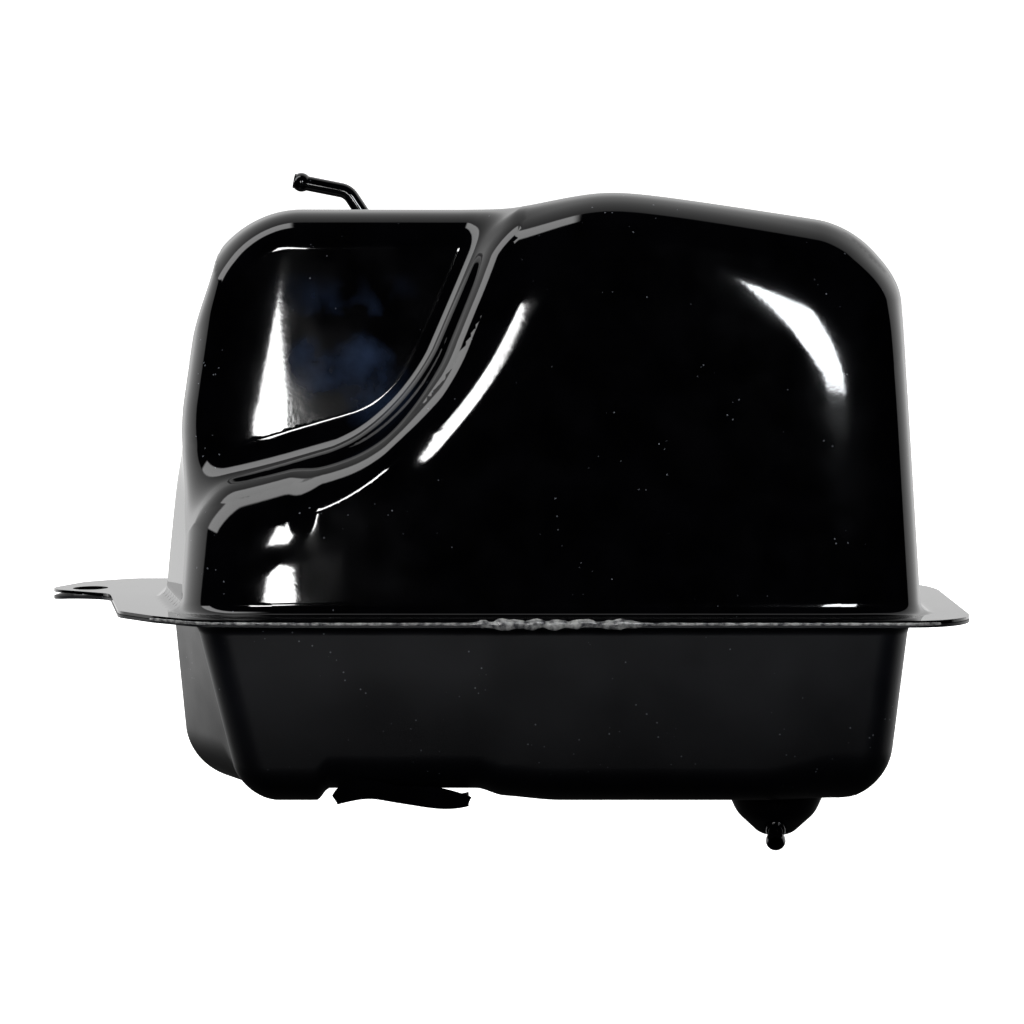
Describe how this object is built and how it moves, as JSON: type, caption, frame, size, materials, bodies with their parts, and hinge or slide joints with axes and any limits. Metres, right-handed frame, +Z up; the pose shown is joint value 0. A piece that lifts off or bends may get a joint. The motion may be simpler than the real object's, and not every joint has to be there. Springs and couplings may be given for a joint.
{
  "type": "fuel tank",
  "caption": "Pressed-steel scooter fuel tank: stepped gloss-black upper shell, satin pan, seam flange with mounting ears, filler cap, gauge sender, vent and outlet nipples.",
  "frame": {"origin": "centre of the flange's seating face, the underside of the lower flange sheet", "axes": "+X along the tank's length towards the outlet end, +Y to the rear, +Z up"},
  "size_m": [0.3665, 0.184, 0.2652],
  "materials": {
    "gloss_black": "gloss stoved enamel",
    "satin_black": "satin black, dusty",
    "weld": "weld track under black paint",
    "bare_steel": "cold-rolled",
    "plated_steel": "yellow-grey zinc plate",
    "spring_steel": "bright drawn",
    "chromed_cap": "polished",
    "rubber": "matte nitrile rubber",
    "black_plastic": "moulded",
    "white_plastic": "natural nylon",
    "brass": "stamped",
    "float_foam": "closed-cell nitrile foam"
  },
  "bodies": {
    "tank": {"upper_shell": "gloss_black", "lower_shell": "satin_black", "seam_weld": "weld", "baffle_plate": "bare_steel", "filler_neck": "gloss_black", "sender_ring": "satin_black", "sender_gasket": "rubber", "sender_plate": "plated_steel", "sender_screws": "plated_steel", "sender_block": "black_plastic", "sender_terminals": "brass", "sender_stem": "bare_steel", "sender_resistor": "white_plastic", "float_pivot": "brass", "vent_tube": "gloss_black", "vent_braze": "gloss_black", "outlet_tube": "gloss_black", "outlet_sump": "satin_black", "outlet_braze": "gloss_black", "fuel_strainer": "white_plastic", "hose_bracket": "gloss_black"},
    "float_arm": {"float_arm": "spring_steel", "float": "float_foam", "float_clip": "spring_steel"},
    "cap_seal": {"cap_gasket": "rubber"},
    "cap": {"cap_cup": "plated_steel", "cap_strap": "spring_steel", "cap_rivet": "plated_steel", "cap_cover": "chromed_cap"}
  },
  "joints": [
    {"name": "float_swing", "type": "hinge", "parent": "tank", "child": "float_arm", "pos_m": [-0.024, 0.0284, 0.04], "axis": [0, -1, 0], "range_deg": [0, 95]},
    {"name": "cap_lift", "type": "slide", "parent": "tank", "child": "cap_seal", "axis": [0, 0, 1], "range_m": [0, 0.06]},
    {"name": "cap_turn", "type": "hinge", "parent": "cap_seal", "child": "cap", "pos_m": [0.045, 0.024, 0.15], "axis": [0, 0, 1], "range_deg": [-90, 0]}
  ]
}
